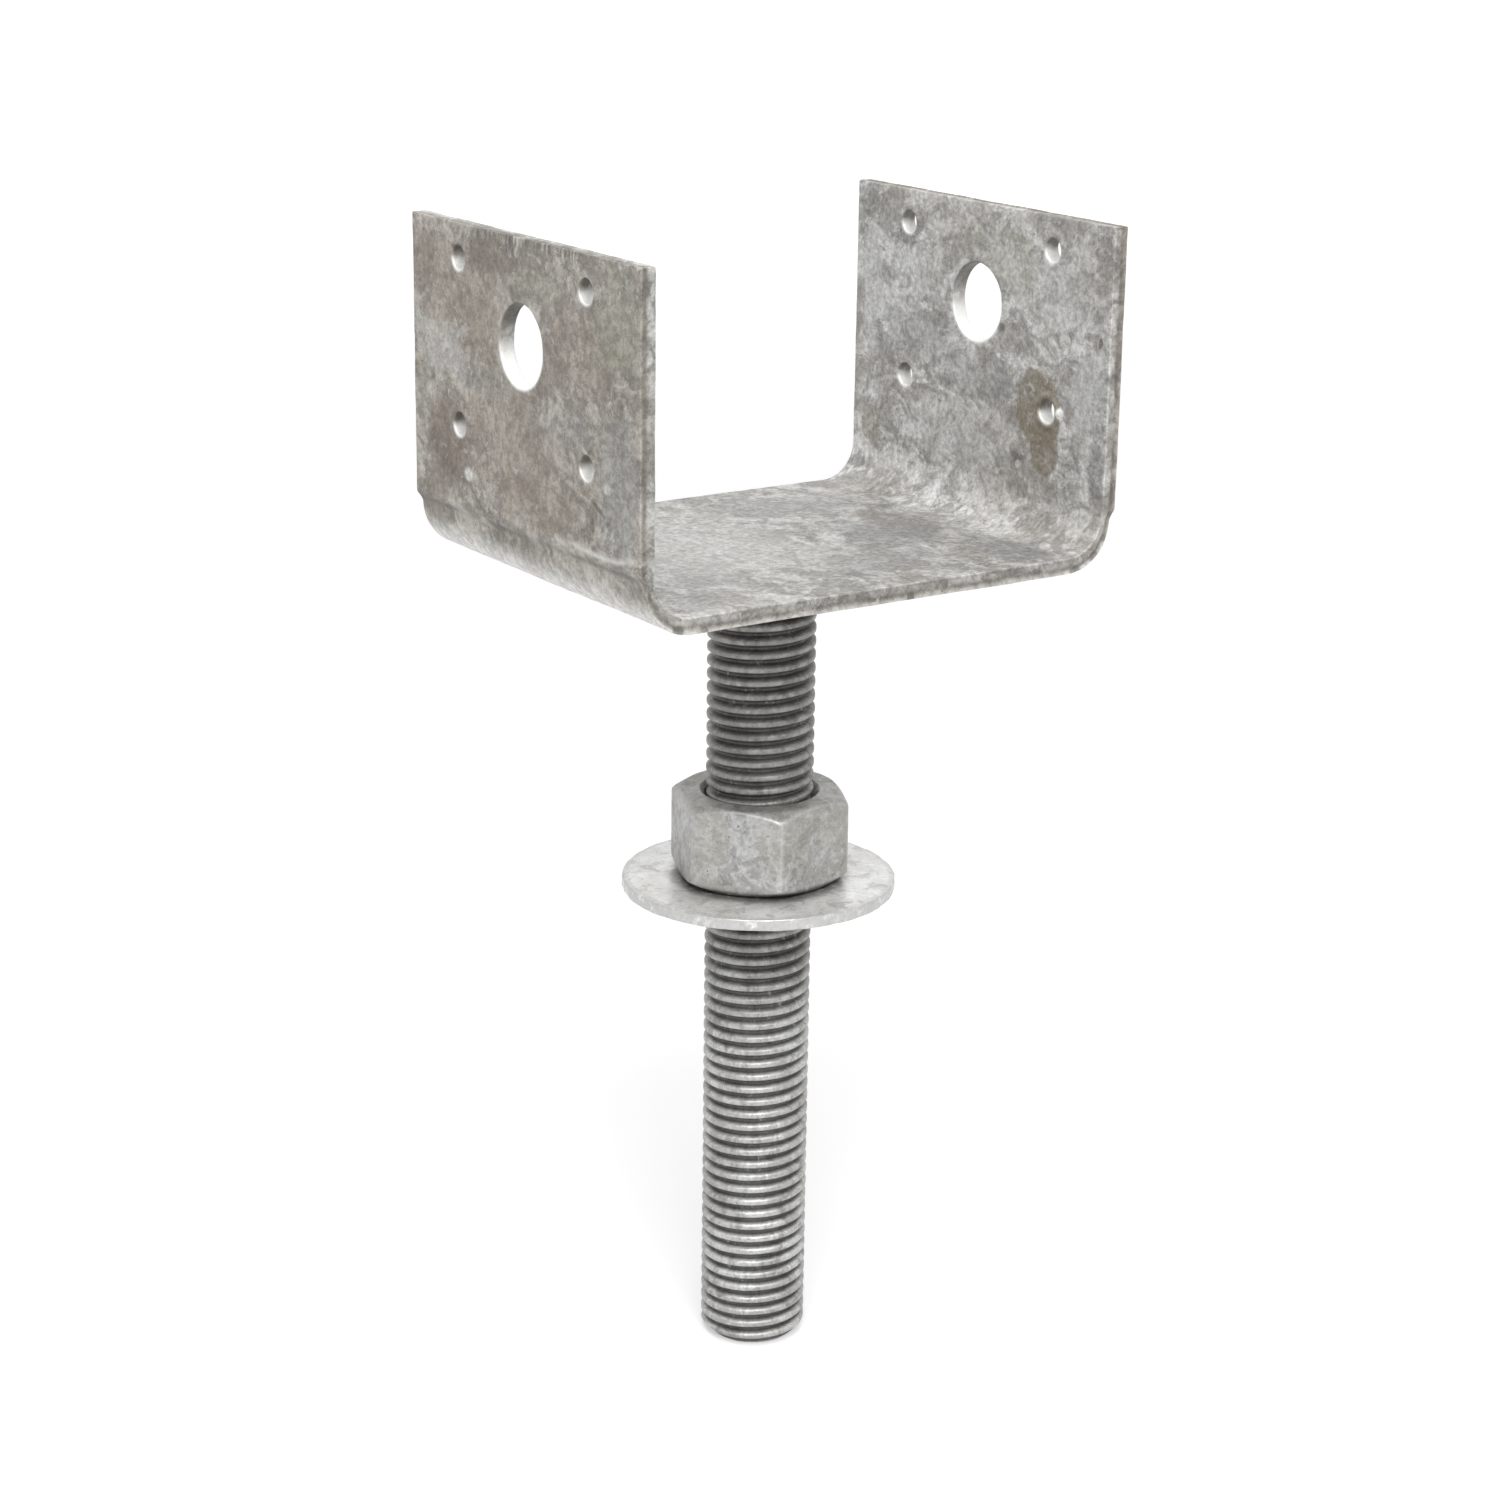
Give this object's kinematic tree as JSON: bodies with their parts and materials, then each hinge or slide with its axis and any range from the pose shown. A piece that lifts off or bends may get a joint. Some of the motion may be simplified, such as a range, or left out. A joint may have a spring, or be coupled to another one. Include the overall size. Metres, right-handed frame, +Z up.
{
  "type": "timber post base",
  "caption": "U-shaped saddle of folded galvanised steel for a square timber post, on a threaded anchor stud with a levelling nut and a bearing washer.",
  "frame": {"origin": "centre of the post seat: the top face of the saddle's base, on the stud's axis", "axes": "+Z up along the stud's axis, out of the saddle; +X across the two cheeks, along the cross bolt; +Y along the depth of the saddle"},
  "size_m": [0.098, 0.075, 0.21],
  "materials": {
    "saddle_zinc": "hot-dip galvanised, mottled and weathered",
    "stud_zinc": "dull galvanised thread",
    "weld_zinc": "galvanised weld",
    "nut_zinc": "satin galvanised",
    "washer_zinc": "pale galvanised"
  },
  "bodies": {
    "stirrup": {"post_saddle": "saddle_zinc", "anchor_stud": "stud_zinc", "weld_bead": "weld_zinc"},
    "washer": {"bearing_washer": "washer_zinc"},
    "nut": {"levelling_nut": "nut_zinc"}
  },
  "joints": [
    {"name": "nut_travel", "type": "slide", "parent": "stirrup", "child": "washer", "axis": [0, 0, 1], "range_m": [-0.0852, 0.0372]},
    {"name": "nut_turn", "type": "hinge", "parent": "washer", "child": "nut", "pos_m": [0, 0, -0.0535], "axis": [0, 0, 1], "range_deg": [-12240, 5328]}
  ],
  "couplings": [
    {"joint": "nut_travel", "follows": "nut_turn", "m_per_rad": 0.00039789}
  ]
}
